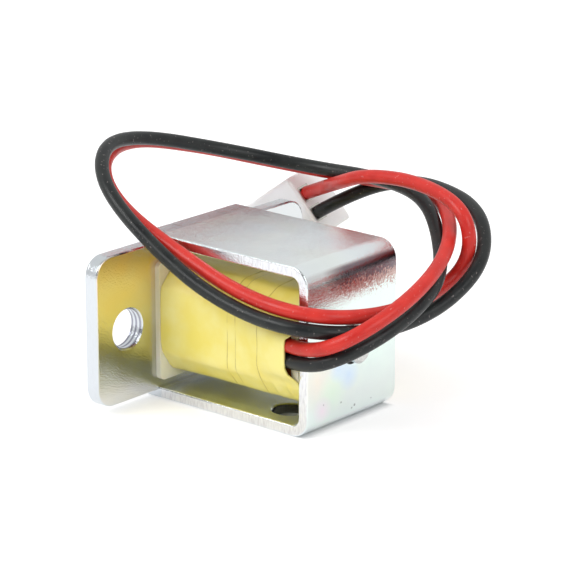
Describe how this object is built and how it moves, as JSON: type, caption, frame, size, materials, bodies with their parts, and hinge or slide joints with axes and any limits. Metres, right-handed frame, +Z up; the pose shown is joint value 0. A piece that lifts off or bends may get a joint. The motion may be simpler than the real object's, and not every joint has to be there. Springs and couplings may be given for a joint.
{
  "type": "electromechanical latch",
  "caption": "Small solenoid latch: a plated steel yoke round a taped coil, a face plate with two screw ears, a sprung bevelled bolt, and two looped leads to a plug.",
  "frame": {"origin": "middle of the footprint, leads and plug left out, at the yoke's underside", "axes": "+X from the bolt's nose to the tail rod, -Y the side where the leads come out, +Z up"},
  "size_m": [0.0422, 0.0405, 0.0263],
  "materials": {
    "zinc_plate": "satin",
    "steel": "bright",
    "bobbin_plastic": "satin",
    "copper_wire": "enamelled",
    "yellow_tape": "satin",
    "red_insulation": "satin",
    "black_insulation": "satin",
    "white_plastic": "satin",
    "tinned_brass": "bright"
  },
  "bodies": {
    "latch_body": {"yoke": "zinc_plate", "face_plate": "zinc_plate", "bobbin": "bobbin_plastic", "coil_winding": "copper_wire", "tape_wrap": "yellow_tape", "pole_piece": "steel", "return_spring": "steel", "red_lead": "red_insulation", "black_lead": "black_insulation", "connector_housing": "white_plastic", "red_terminal": "tinned_brass", "black_terminal": "tinned_brass"},
    "bolt": {"plunger": "steel", "tail_rod": "steel", "retaining_clip": "steel"}
  },
  "joints": [
    {"name": "bolt_slide", "type": "slide", "parent": "latch_body", "child": "bolt", "axis": [1, 0, 0], "range_m": [0, 0.004], "stiffness_N_per_m": 150, "springref_m": -0.003, "deforming": ["return_spring"]}
  ]
}
